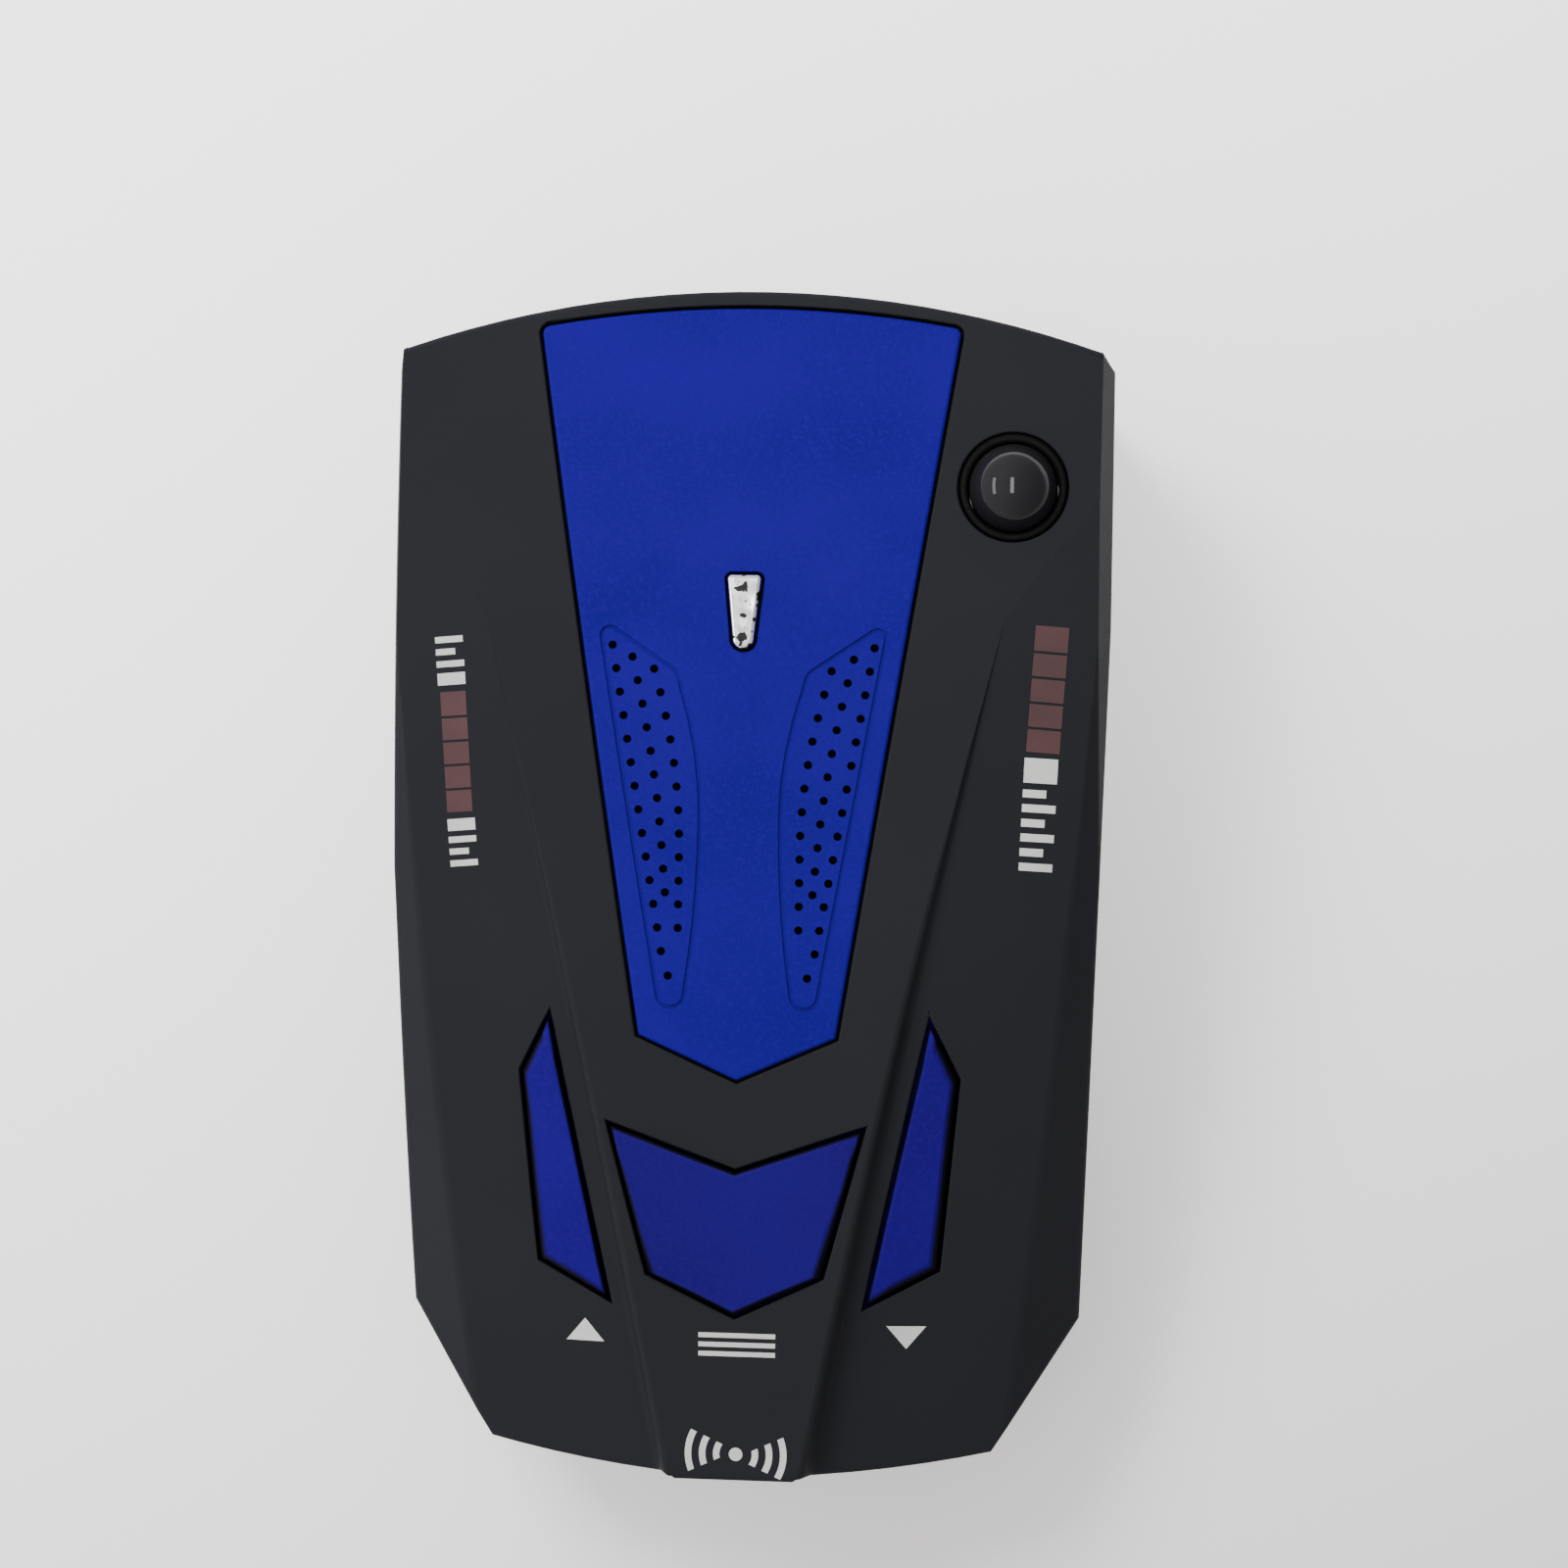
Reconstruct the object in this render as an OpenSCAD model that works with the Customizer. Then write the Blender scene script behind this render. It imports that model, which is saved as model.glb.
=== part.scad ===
// Dashboard radar detector: two shells that hold a board, a speaker, a horn antenna and a light display.
// +X is to the driver's right, +Y is towards the road and +Z is up.
// The origin is under the middle of the base.

/* [Case] */
// Length from the front arc to the tip of the nose
case_len = 108.2; // [107.8:0.1:108.6]
// Width of the front half
case_w = 66; // [65.5:0.1:66.5]
// Width where the rear corners are cut
rear_w = 62.4; // [62:0.1:62.8]
// Height of the spine at its highest point
spine_h = 27.5; // [27.2:0.1:28]
// Height of the joint between the two covers
joint_z = 12; // [11.8:0.1:12.1]
// Wall thickness of the covers
wall = 1.8; // [1.6:0.1:1.9]
// How far the upper cover overhangs the lower one
overhang = 1.2; // [1:0.1:1.3]

/* [Buttons] */
// Travel of each button
button_travel = 0.5; // [0.3:0.1:0.5]
// How far a button stands above the cover
button_proud = 0.5; // [0.3:0.1:0.7]
// Gap round each button
button_gap = 0.35; // [0.25:0.05:0.4]

/* [Trim] */
// Thickness of the coloured panel
panel_t = 1.2; // [1:0.1:1.3]
// Gap round the panel and the chrome insert
trim_gap = 0.25; // [0.15:0.05:0.3]
// Diameter of the speaker holes
perforation_d = 0.75; // [0.6:0.05:0.8]

/* [Sensor dome] */
// Radius of the dome
dome_r = 4; // [3.8:0.1:4.1]
// Radius of the recess round the dome
dome_recess_r = 5; // [4.9:0.1:5.2]

/* [Side controls] */
// Radius of the volume wheel
wheel_r = 7; // [6.8:0.1:7]
// Radius of the power socket's hole, for a 3.5 mm plug
socket_r = 1.8; // [1.8:0.05:1.9]

/* [Hidden] */

far = 160;          // longer than anything in the model
eps = 0.01;
fit = 0.1;          // gap between pieces that are put together
round_fn = 64;
crown_fn = 720;

front_y = case_len / 2;
nose_y = -case_len / 2;
rear_y = nose_y + 0.1;
front_r = 95;       // arc of the road end
rear_r = 116;       // arc of the driver's end
floor_t = 2;
rim_h = 0.8;
base_chamfer = 1.6;
under = overhang + wall;   // the lower cover's inner face, measured in from the upper cover's outline

// Counter-clockwise plan of the upper cover, before the two arcs trim its ends
plan = [
    [rear_w / 2, -39.2], [case_w / 2, 24], [case_w / 2, 47.8], [case_w / 2 - 17, 59.7],
    [17 - case_w / 2, 59.7], [-case_w / 2, 47.8], [-case_w / 2, 24], [-rear_w / 2, -39.2],
    [-rear_w / 2 + 10.8, -56.2], [rear_w / 2 - 10.8, -56.2]
];

// The roof is made of five long arcs: the spine's crown, and a wing and two bevels on each side.
// Each arc but the crown tilts outwards: [measured at, peaks at, height, slope, radius, turn].
// The wing is turned in plan, so that it is level at the road end and slopes more towards the driver.
crown_r = 420;
crown_y = 22;
wing = [18, 39.4, spine_h + 0.8, 0.05, 222, 36.9];
front_bevel = [31.8, 39.4, spine_h - 0.3, 4.4, 313, 0];
rear_bevel = [30.8, 64.5, spine_h + 2.53, 0.8, 328, 0];

// The spine's flanks rise three to one from a line between these two points
flank_rear = [7.4, rear_y, spine_h - 10.5];
flank_front = [22.9, crown_y, spine_h];
flank_rise = [-1, 0, 3];

nose_w = 10.8;
nose_root_w = 14.1;

// The panel's right-hand edge up to its rounded front corner
panel_side = concat([[9.2, -13.7]], arc_points([18.34, 50.09], 1, -9, 80, 8), [[18.5, 54]]);
panel_plan = concat([[0, -17.8]], panel_side,
                    [for (i = [len(panel_side) - 1 : -1 : 0]) [-panel_side[i].x, panel_side[i].y]]);
panel_front_r = 103;
panel_front_y = 52.75;
insert_rear = [1, 0, 22.35];      // [radius, distance from the centre line, place along the case]
insert_front = [0.45, 1.1, 27.65];
insert_proud = 0.5;
side_share = 0.985;           // the straight sides cut this far out into the round ends
peg_r = 0.9;
peg_places = [[13.5, 40], [-13.5, 40], [4.5, -12.5], [-4.5, -12.5]];

side_button_plan = [[17.25, -11.3], [11.4, -38.4], [18.5, -34.6], [20.15, -17]];
menu_button_plan = [[0, -39.2], [8.13, -35.3], [11.87, -21.3], [0, -25.5], [-11.87, -21.3], [-8.13, -35.3]];
side_stem = [16.4, -26];
menu_stem = [0, -31];
flange_w = 0.8;
flange_t = 1;
flange_gap = 0.15;
stem_r = 1.6;
roof_t = wall;        // thickness of the roof over the wings
spine_t = 2.6;        // and over the spine, where it holds the panel

dome_at = [24, 36.3];
dome_z = spine_h - 1.3;
dome_wall = 0.9;
seal_r = 0.42;

board_z = 4;
board_t = 1.2;
board_top = board_z + board_t;
board_inset = 5.2;
board_rear_y = -43.8;
board_posts = [[-17, 36.5], [17, 42.5], [-10, -36], [12, -38]];

screw_places = [[27, 45], [-27, 45], [21, -42.5], [-21, -42.5]];
screw_boss_r = 3.3;
screw_shank_r = 1.1;
screw_head_r = 2.1;
screw_len = 11;
screw_seat_z = 3.4;
boss_split_z = 8;

switch_w = 6;
switch_top = board_top + 3.5;
plunger_r = 1.75;
plunger_top = switch_top + 1.6;

wheel_at = [-24.75, -5];
wheel_z = board_top + 1.6;
wheel_t = 2.6;
wheel_teeth = 40;
wheel_slot_w = 12.4;
pin_r = 1;

socket_y = 30;
socket_z = 8;
socket_len = 10;
socket_nose_r = 2.6;
socket_face_x = case_w / 2 - overhang;

window_half_w = 18.5;
window_z = [3.4, 11.9];
lens_half_w = 24;
lens_z = [4, 11.4];
lens_t = 1.8;
seam = 0.12;

speaker_at = [0, 6];
speaker_r = 14;
speaker_z = 22.9;     // top of the speaker's flange
gasket_t = 0.6;

horn_y = [27, 44];
horn_z = board_top + 7.5;

function unit(v) = v / norm(v);

// Corner i of a counter-clockwise outline, moved in by d from both of its edges
function inset_corner(p, i, d) =
    let (n = len(p), u = unit(p[i] - p[(i + n - 1) % n]), v = unit(p[(i + 1) % n] - p[i]),
         nu = [-u.y, u.x], nv = [-v.y, v.x])
    p[i] + d * (nu + nv) / (1 + nu * nv);

function inset(p, d) = [for (i = [0 : len(p) - 1]) inset_corner(p, i, d)];

function crown_height(y) = spine_h - pow(y - crown_y, 2) / (2 * crown_r);

module prism(points, z0, z1) translate([0, 0, z0]) linear_extrude(z1 - z0) polygon(points);

module rod(r, z0, z1, at = [0, 0]) translate([at.x, at.y, z0]) cylinder(r = r, h = z1 - z0, $fn = round_fn);

module block(low, high) translate(low) cube(high - low);

module both_sides() {
    children();
    mirror([1, 0, 0]) children();
}

// Everything on the inner side of a plane through p with outward normal n
module under_plane(p, n)
    translate(p) rotate([0, acos(unit(n).z), atan2(n.y, n.x)])
        translate([-far, -far, -2 * far]) cube(2 * far);

// Everything outside that plane
module over_plane(p, n)
    translate(p) rotate([0, acos(unit(n).z), atan2(n.y, n.x)])
        translate([-far, -far, 0]) cube(2 * far);

// The upper cover's plan moved in by d, between two heights
module case_prism(d, z0, z1) intersection() {
    prism(inset(plan, d), z0, z1);
    translate([0, front_y - front_r, z0]) cylinder(r = front_r - d, h = z1 - z0, $fn = crown_fn);
    translate([0, rear_y + rear_r, z0]) cylinder(r = rear_r - d, h = z1 - z0, $fn = crown_fn);
}

// Everything under one tilted arc of the roof, lowered by drop.
// An upright section across it has the radius arc[4].
module under_arc(arc, side, drop) {
    tilt = atan(arc[3]);
    r = arc[4] / cos(tilt);
    translate([side * arc[0], arc[1], arc[2] - drop]) rotate([0, side * tilt, 0]) rotate(side * arc[5])
        translate([0, 0, -r]) rotate([0, 90, 0]) cylinder(r = r, h = 2 * far, center = true, $fn = crown_fn);
}

module under_crown(drop)
    translate([-far / 2, crown_y, spine_h - drop - crown_r]) rotate([0, 90, 0])
        cylinder(r = crown_r, h = far, $fn = crown_fn);

// The spine between its two flanks, moved in by d
module between_flanks(d) {
    out = cross(flank_front - flank_rear, flank_rise);
    intersection() {
        under_plane(flank_rear - d * unit(out), out);
        mirror([1, 0, 0]) under_plane(flank_rear - d * unit(out), out);
    }
}

module wings(drop) intersection() {
    under_arc(wing, 1, drop);
    under_arc(wing, -1, drop);
}

module bevels(drop) intersection() {
    under_arc(front_bevel, 1, drop);
    under_arc(front_bevel, -1, drop);
    under_arc(rear_bevel, 1, drop);
    under_arc(rear_bevel, -1, drop);
}

// The upper cover as a full solid
module outer_form() {
    intersection() {
        case_prism(0, joint_z, far / 4);
        bevels(0);
        under_crown(0);
        union() {
            wings(0);
            between_flanks(0);
        }
    }
    intersection() {
        prism([[-nose_w / 2, nose_y], [nose_w / 2, nose_y], [nose_root_w / 2, nose_y + 1.05],
               [nose_root_w / 2, -50], [-nose_root_w / 2, -50], [-nose_root_w / 2, nose_y + 1.05]],
              joint_z, far / 4);
        under_crown(0);
        between_flanks(0);
    }
}

// The space inside the upper cover, kept d clear of its walls
module inner_form(d) intersection() {
    case_prism(wall + d, joint_z - 1, far / 4);
    bevels(roof_t + d);
    under_crown(spine_t + d);
    union() {
        wings(roof_t + d);
        between_flanks(roof_t + d);
    }
}

module panel_outline(d, z0, z1) intersection() {
    prism(inset(panel_plan, d), z0, z1);
    translate([0, panel_front_y - panel_front_r, z0])
        cylinder(r = panel_front_r - d, h = z1 - z0, $fn = crown_fn);
}

// A keystone outline: a round rear end, and a straight front edge between two small corners
module insert_outline(d, z0, z1) translate([0, 0, z0]) {
    a = [insert_rear[1], insert_rear[2]];
    b = [insert_front[1], insert_front[2]];
    ra = insert_rear[0] + d;
    rb = insert_front[0] + d;
    // the straight side's outward direction
    turn = atan2(b.y - a.y, b.x - a.x) - acos((ra - rb) / norm(b - a));
    side = side_share * [cos(turn), sin(turn)];
    half = [a + ra * side, b + rb * side, b + [0, rb * side_share]];
    linear_extrude(z1 - z0) {
        translate(a) circle(r = ra, $fn = round_fn);
        for (s = [-1, 1]) translate([s * b.x, b.y]) circle(r = rb, $fn = round_fn);
        polygon(concat(half, [for (i = [2 : -1 : 0]) [-half[i].x, half[i].y]]));
    }
}

// Places of the speaker holes on the right-hand side: two long columns, one between them, and a tail
hole_pitch = 2.12;
function outer_column(y) = 11.85 - 0.1777 * (21.6 - y);
function inner_column(y) = 5.45 + 0.0095 * pow(max(0, y - 3), 2);
hole_rows = [for (i = [0 : 13]) 21.6 - hole_pitch * i];
perforations = concat(
    [for (y = hole_rows) [outer_column(y), y]],
    [for (i = [1 : 12]) [inner_column(hole_rows[i]), hole_rows[i]]],
    [for (i = [0 : 10]) let (y = hole_rows[i] - hole_pitch / 2)
        [(outer_column(y) + inner_column(y)) / 2, y]],
    [[6.3, -8.15]]
);

// A fine groove runs round each group of holes: two rounded ends, a straight outer side, a curved inner one
groove_w = 0.35;
groove_depth = 0.16;
function arc_points(at, r, from, to, n) =
    [for (i = [0 : n]) let (a = from + (to - from) * i / n) at + r * [cos(a), sin(a)]];
function inner_edge(y) = 3.45 + (y > 6 ? 0.0136 : 0.0048) * pow(y - 6, 2);
groove_plan = concat(
    arc_points([6.05, -9.75], 1.4, 195, 350, 10),
    arc_points([12.1, 22.45], 0.95, -10, 122, 8),
    [[6.25, 19.65], [5.85, 19.3], [5.6, 18.8]],
    [for (y = [18 : -3 : -6]) [inner_edge(y), y]]
);

// The window under each group of holes
grille_plan = [[7.4, -10], [13, 22.6], [12, 23.6], [5.9, 19.3], [3.6, 7.1], [4.1, -5], [5, -10]];

module top_cover() color([0.17, 0.18, 0.2]) {
    difference() {
        outer_form();
        inner_form(0);
        // pocket for the panel, its pegs and the windows under its holes
        difference() {
            panel_outline(0, joint_z, far / 4);
            under_crown(panel_t);
        }
        for (p = peg_places) rod(peg_r + fit, joint_z, far / 4, p);
        both_sides() prism(grille_plan, joint_z, far / 4);
        // buttons
        both_sides() prism(side_button_plan, joint_z - 1, far / 4);
        prism(menu_button_plan, joint_z - 1, far / 4);
        // dome
        rod(dome_r + fit, joint_z, far / 4, dome_at);
        rod(dome_recess_r, dome_z, far / 4, dome_at);
    }
    // seats that hang under the roof
    difference() {
        intersection() {
            rod(speaker_r + 0.7, speaker_z + gasket_t, far / 4, speaker_at);
            under_crown(spine_t - 0.2);
        }
        rod(speaker_r - 1.7, joint_z, far / 4, speaker_at);
    }
    ring(dome_r + 1.7, dome_r + 2.6, dome_z - 3.2, dome_z - 1, dome_at);
    for (p = screw_places) difference() {
        intersection() {
            rod(screw_boss_r - 0.4, boss_split_z, far / 4, p);
            under_arc(wing, sign(p.x), roof_t - 0.3);
            under_crown(roof_t);
            case_prism(under + fit, 0, far / 4);
        }
        rod(screw_shank_r + eps, 0, screw_seat_z + screw_len + 0.3, p);
    }
}

module window_cut(half_w, z) block([-half_w, -front_y - 1, z[0]], [half_w, -front_y + 12, z[1]]);

// The lower cover's base is chamfered all round, a touch higher along the end arcs than along the sides
module base_form() difference() {
    case_prism(overhang, 0, joint_z);
    edge = inset(plan, overhang);
    for (i = [0 : len(edge) - 1]) {
        a = edge[i];
        u = unit(edge[(i + 1) % len(edge)] - a);
        over_plane([a.x, a.y, base_chamfer], [u.y, -u.x, -1]);
    }
    for (end = [[front_y - front_r, front_r], [rear_y + rear_r, rear_r]]) {
        h = base_chamfer + 0.1;
        translate([0, end[0], 0]) difference() {
            translate([0, 0, -1]) cylinder(r = end[1] + 4, h = h + 1, $fn = crown_fn);
            r = end[1] - overhang;
            translate([0, 0, -2]) cylinder(r1 = r - h - 2, r2 = r + 1, h = h + 3, $fn = crown_fn);
        }
    }
}

module bottom_cover() color([0.13, 0.13, 0.14]) difference() {
    union() {
        difference() {
            base_form();
            case_prism(under, floor_t, joint_z + 1);
        }
        // rim that locates the upper cover
        difference() {
            case_prism(wall + fit, joint_z - 1, joint_z + rim_h);
            case_prism(under, joint_z - 2, joint_z + rim_h + 1);
        }
        for (p = screw_places) rod(screw_boss_r, 0, boss_split_z - fit, p);
        for (p = board_posts) rod(2.2, floor_t - 0.5, board_z, p);
    }
    for (p = screw_places) {
        rod(screw_head_r + 0.3, -1, screw_seat_z, p);
        rod(screw_shank_r + 0.2, -1, far, p);
    }
    for (p = board_posts) rod(0.8, floor_t - 0.8, far, p);
    // rim cleared for the upper cover's bosses
    for (p = screw_places) rod(screw_boss_r, boss_split_z, far, p);
    // windows at both ends
    mirror([0, 1, 0]) window_cut(lens_half_w, [lens_z[0], joint_z + 2]);
    window_cut(window_half_w, [window_z[0], joint_z + 2]);
    // volume wheel and power socket
    block([wheel_at.x - 12, wheel_at.y - wheel_slot_w / 2, wheel_z - 0.4],
          [wheel_at.x - 1, wheel_at.y + wheel_slot_w / 2, wheel_z + wheel_t + 0.4]);
    translate([socket_face_x - 3, socket_y, socket_z]) rotate([0, 90, 0])
        cylinder(r = socket_nose_r + fit, h = 6, $fn = round_fn);
    // label recess, and vents under the amplifier
    block([-20, -22, -1], [20, 2, 0.35]);
    for (i = [-4 : 4]) block([i * 3.4 - 0.6, 10, -1], [i * 3.4 + 0.6, 26, floor_t + 1]);
}

module centre_panel() color([0.02, 0.09, 0.6]) difference() {
    union() {
        difference() {
            intersection() {
                panel_outline(trim_gap, joint_z, far / 4);
                under_crown(0);
            }
            under_crown(panel_t);
        }
        for (p = peg_places) intersection() {
            rod(peg_r, crown_height(p.y) - spine_t - 0.4, far / 4, p);
            under_crown(panel_t - 0.2);
        }
    }
    insert_outline(trim_gap, joint_z, far / 4);
    both_sides() for (p = perforations) rod(perforation_d / 2, joint_z, far / 4, p);
    difference() {
        both_sides() difference() {
            prism(groove_plan, joint_z, far / 4);
            prism(inset(groove_plan, groove_w), joint_z - 1, far / 4 + 1);
        }
        under_crown(groove_depth);
    }
}

module chrome_insert() color([0.85, 0.86, 0.88])
    insert_outline(0, spine_h - panel_t, spine_h + insert_proud);

// Two strips of black gauze behind the holes
module grille_mesh() color([0.05, 0.05, 0.05]) difference() {
    intersection() {
        both_sides() prism(inset(grille_plan, fit), joint_z, far / 4);
        under_crown(panel_t);
    }
    under_crown(panel_t + 0.25);
}

module laser_dome() color([0.1, 0.1, 0.11, 0.7]) translate([dome_at.x, dome_at.y, dome_z]) difference() {
    union() {
        sphere(r = dome_r, $fn = round_fn);
        translate([0, 0, -3]) cylinder(r = dome_r, h = 3, $fn = round_fn);
        translate([0, 0, -3]) cylinder(r = dome_r + 1.6, h = 1.1, $fn = round_fn);
    }
    sphere(r = dome_r - dome_wall, $fn = round_fn);
    translate([0, 0, -6]) cylinder(r = dome_r - dome_wall, h = 6, $fn = round_fn);
}

// The ring sits in the recess, between its wall and the dome
module dome_seal() color([0.02, 0.02, 0.02]) translate([dome_at.x, dome_at.y, dome_z + seal_r])
    rotate_extrude($fn = round_fn) translate([dome_r + seal_r + 0.06, 0]) circle(r = seal_r, $fn = 24);

module dome_sensor() color([0.1, 0.1, 0.12]) {
    rod(2.4, 20, 24, dome_at);
    translate([dome_at.x, dome_at.y, 24]) intersection() {
        sphere(r = 2.4, $fn = round_fn);
        cylinder(r = 3, h = 3, $fn = round_fn);
    }
}

module sensor_board() color([0.05, 0.3, 0.16])
    block([dome_at.x - 5, dome_at.y - 5, 19], [dome_at.x + 4, dome_at.y + 5, 20]);

module sensor_header() color([0.75, 0.65, 0.3])
    for (i = [-0.5 : 1.5]) block([dome_at.x - 4.3, dome_at.y + 2.54 * i - 0.32, board_top],
                                 [dome_at.x - 3.66, dome_at.y + 2.54 * i + 0.32, 19]);

// A smoked strip that follows the end's arc, with a lip behind it
module end_strip(centre_y, r, half_w, z) intersection() {
    block([-half_w, -far / 2, z[0]], [half_w, far / 2, z[1]]);
    translate([0, centre_y, z[0]]) difference() {
        cylinder(r = r - overhang - 0.1, h = z[1] - z[0], $fn = crown_fn);
        translate([0, 0, -1]) cylinder(r = r - overhang - 0.1 - lens_t, h = far, $fn = crown_fn);
    }
    translate([0, sign(-centre_y) * far / 2, 0]) cube([far, far, far], center = true);
}

module display_window() color([0.06, 0.03, 0.03, 0.7])
    end_strip(rear_y + rear_r, rear_r, window_half_w - seam, [window_z[0] + seam, window_z[1]]);

module front_lens() color([0.06, 0.03, 0.03, 0.7])
    end_strip(front_y - front_r, front_r, lens_half_w - seam, [lens_z[0] + seam, joint_z - seam]);

module rating_label() color([0.7, 0.7, 0.7]) block([-19.7, -21.7, 0.1], [19.7, 1.7, 0.34]);

// Pan head with a cross, and a plain shank
module case_screws() color([0.5, 0.5, 0.52]) for (p = screw_places) difference() {
    union() {
        rod(screw_head_r, screw_seat_z - 1.6, screw_seat_z, p);
        rod(screw_shank_r, screw_seat_z - 0.4, screw_seat_z + screw_len, p);
    }
    for (turn = [0, 90]) translate([p.x, p.y, 0]) rotate(turn)
        block([-1.3, -0.3, 0], [1.3, 0.3, screw_seat_z - 0.7]);
}

// A cap that fills its opening, a flange that keeps it in, and a stem down to its switch.
// The three children bound it: the roof over the cap, then over and under the flange.
module cap(points, stem) {
    difference() {
        intersection() {
            prism(inset(points, button_gap), joint_z, far / 4);
            children(0);
        }
        children(2);
    }
    difference() {
        intersection() {
            prism(inset(points, -flange_w), joint_z, far / 4);
            children(1);
            inner_form(flange_gap);
        }
        children(2);
    }
    intersection() {
        rod(stem_r, plunger_top, far / 4, stem);
        children(1);
    }
}

module side_button() cap(side_button_plan, side_stem) {
    under_arc(wing, 1, -button_proud);
    under_arc(wing, 1, roof_t + flange_gap);
    under_arc(wing, 1, roof_t + flange_gap + flange_t);
}

module up_button() color([0.05, 0.05, 0.55]) mirror([1, 0, 0]) side_button();

module down_button() color([0.05, 0.05, 0.55]) side_button();

module menu_button() color([0.05, 0.08, 0.5]) cap(menu_button_plan, menu_stem) {
    under_crown(-button_proud);
    under_crown(spine_t + flange_gap);
    under_crown(spine_t + flange_gap + flange_t);
}

module plunger(at) color([0.9, 0.9, 0.85]) rod(plunger_r, switch_top - 1, plunger_top, at);

module up_plunger() plunger([-side_stem.x, side_stem.y]);
module menu_plunger() plunger(menu_stem);
module down_plunger() plunger(side_stem);

module tact_switch(at) color([0.12, 0.12, 0.12]) difference() {
    half = switch_w / 2;
    block([at.x - half, at.y - half, board_top], [at.x + half, at.y + half, switch_top]);
    rod(plunger_r + 0.05, switch_top - 1 - button_travel - 0.2, far, at);
}

module up_switch() tact_switch([-side_stem.x, side_stem.y]);
module menu_switch() tact_switch(menu_stem);
module down_switch() tact_switch(side_stem);

module volume_wheel() color([0.1, 0.1, 0.11]) difference() {
    rod(wheel_r, wheel_z, wheel_z + wheel_t, wheel_at);
    rod(pin_r + 0.05, 0, far, wheel_at);
    rod(4.6, wheel_z + wheel_t - 0.6, far, wheel_at);
    for (i = [0 : wheel_teeth - 1]) translate([wheel_at.x, wheel_at.y, 0]) rotate(360 / wheel_teeth * i)
        translate([wheel_r + 0.05, 0, 0]) rotate(45) block([-0.28, -0.28, 0], [0.28, 0.28, far]);
}

module wheel_rivet() color([0.7, 0.7, 0.7]) {
    rod(pin_r, board_top + 0.4, wheel_z + wheel_t - 0.4, wheel_at);
    rod(1.9, wheel_z + wheel_t - 0.54, wheel_z + wheel_t - 0.1, wheel_at);
}

module potentiometer() color([0.45, 0.3, 0.15]) difference() {
    block([wheel_at.x - 4, wheel_at.y - 4, board_top], [wheel_at.x + 4, wheel_at.y + 4, wheel_z - 0.1]);
    rod(pin_r, board_top + 0.4, far, wheel_at);
}

module power_socket() color([0.08, 0.08, 0.08]) difference() {
    union() {
        block([socket_face_x - 12.5, socket_y - 3.4, board_top],
              [socket_face_x - wall - 0.1, socket_y + 3.4, 10.9]);
        translate([socket_face_x - 4, socket_y, socket_z]) rotate([0, 90, 0])
            cylinder(r = socket_nose_r, h = 4, $fn = round_fn);
    }
    translate([socket_face_x - socket_len, socket_y, socket_z]) rotate([0, 90, 0])
        cylinder(r = socket_r, h = socket_len + 1, $fn = round_fn);
}

module main_board() color([0.04, 0.3, 0.14]) difference() {
    intersection() {
        case_prism(board_inset, board_z, board_top);
        block([-far / 2, board_rear_y, 0], [far / 2, far / 2, far]);
    }
    for (p = screw_places) rod(screw_boss_r + 0.4, 0, far, p);
    for (p = board_posts) rod(1.1, 0, far, p);
}

module board_screws() color([0.75, 0.7, 0.5]) for (p = board_posts) {
    rod(1.8, board_top, board_top + 0.9, p);
    rod(0.79, floor_t - 0.6, board_top + 0.1, p);
}

module display_board() color([0.04, 0.3, 0.14]) block([-16.5, -45.3, floor_t], [16.5, -44.3, 11.6]);

// Right-angled pins from the main board to the display board
module display_header() color([0.1, 0.1, 0.1]) {
    block([-8, -43.4, board_top], [8, -41, board_top + 2.5]);
    for (i = [-2.5 : 2.5]) block([2.54 * i - 0.32, -44.3, board_top + 0.9],
                                 [2.54 * i + 0.32, -42, board_top + 1.5]);
}

module led_display() color([0.08, 0.08, 0.08]) block([-13, -49.4, 3.6], [13, -45.3, 11.4]);

// Two digits of seven bars each, a row of round lamps over a signal scale, and a column of round lamps
module led_segments() color([0.8, 0.75, 0.7]) {
    h = 0.15;
    bar = [2.4, 0.6];
    face_y = -49.4;
    for (x = [-5.2, 0.2]) translate([x, face_y, 7.5]) {
        for (z = [-2.7, 0, 2.7]) block([-bar.x / 2, -h, z - bar.y / 2], [bar.x / 2, 0, z + bar.y / 2]);
        for (sx = [-1, 1], sz = [-1, 1])
            block([sx * 1.6 - bar.y / 2, -h, sz * 1.35 - 0.95], [sx * 1.6 + bar.y / 2, 0, sz * 1.35 + 0.95]);
    }
    lamps = concat([for (i = [0 : 3]) [4.6 + 2.2 * i, 9.4]], [for (i = [0 : 2]) [-10.4, 5.2 + 2.3 * i]]);
    for (p = lamps) translate([p.x, face_y, p.y]) rotate([90, 0, 0]) cylinder(r = 0.7, h = h, $fn = 24);
    for (i = [0 : 3]) block([4 + 2.2 * i, face_y - h, 4.9], [5.2 + 2.2 * i, face_y, 5.5 + 0.5 * i]);
}

module ring(r0, r1, z0, z1, at) difference() {
    rod(r1, z0, z1, at);
    rod(r0, z0 - 1, z1 + 1, at);
}

module speaker_gasket() color([0.1, 0.1, 0.1])
    ring(speaker_r - 2, speaker_r, speaker_z, speaker_z + gasket_t, speaker_at);

// Pressed steel basket: a flange, a sloping wall and a seat for the magnet
module speaker_frame() color([0.55, 0.56, 0.58]) translate([speaker_at.x, speaker_at.y, speaker_z])
    rotate_extrude($fn = round_fn) polygon([
        [11.6, 0], [11.6, -0.9], [8.2, -4.6], [3.2, -4.6],
        [3.2, -5.3], [8.6, -5.3], [12.4, -1], [14, -1], [14, 0]
    ]);

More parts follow.
